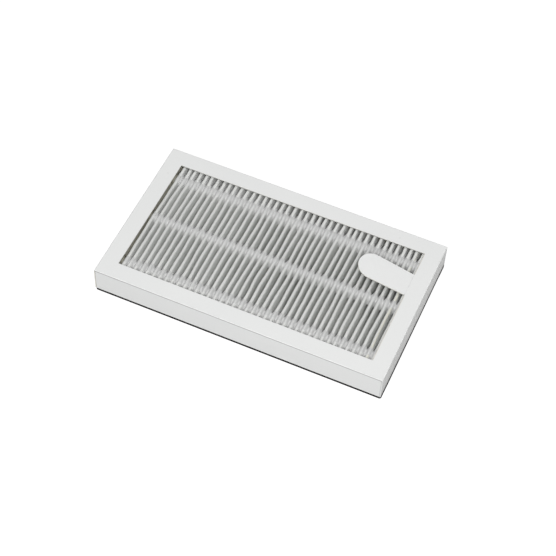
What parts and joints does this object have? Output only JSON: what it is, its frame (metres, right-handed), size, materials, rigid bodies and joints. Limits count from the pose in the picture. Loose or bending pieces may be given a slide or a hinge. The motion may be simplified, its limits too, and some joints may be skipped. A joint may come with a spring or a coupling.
{
  "type": "hepa filter panel",
  "caption": "Pleated air filter panel: folded filter paper held by glue beads, potted in a white card tray with an open window, a pull tab and a foam gasket.",
  "frame": {"origin": "centre of the panel in plan, on the underside of the gasket", "axes": "+X along the panel towards the end with the pull tab, +Y across it towards the side the tab is nearer to, +Z out of the front face"},
  "size_m": [0.137, 0.0792, 0.019],
  "materials": {
    "white_card": "coated white board, satin",
    "filter_paper": "matt glass fibre paper",
    "hot_glue": "milky hot-melt, satin",
    "potting_glue": "pale amber hot-melt, satin",
    "black_foam": "fine closed-cell foam, matt"
  },
  "bodies": {
    "root": {"front_frame": "white_card", "rear_frame": "white_card", "pleated_media": "filter_paper", "front_bead_far": "hot_glue", "front_bead_middle": "hot_glue", "front_bead_near": "hot_glue", "rear_bead_far": "hot_glue", "rear_bead_middle": "hot_glue", "rear_bead_near": "hot_glue", "pot_far": "potting_glue", "pot_near": "potting_glue", "pot_left": "potting_glue", "pot_right": "potting_glue", "gasket_far": "black_foam", "gasket_near": "black_foam", "gasket_left": "black_foam", "gasket_right": "black_foam"}
  },
  "joints": []
}
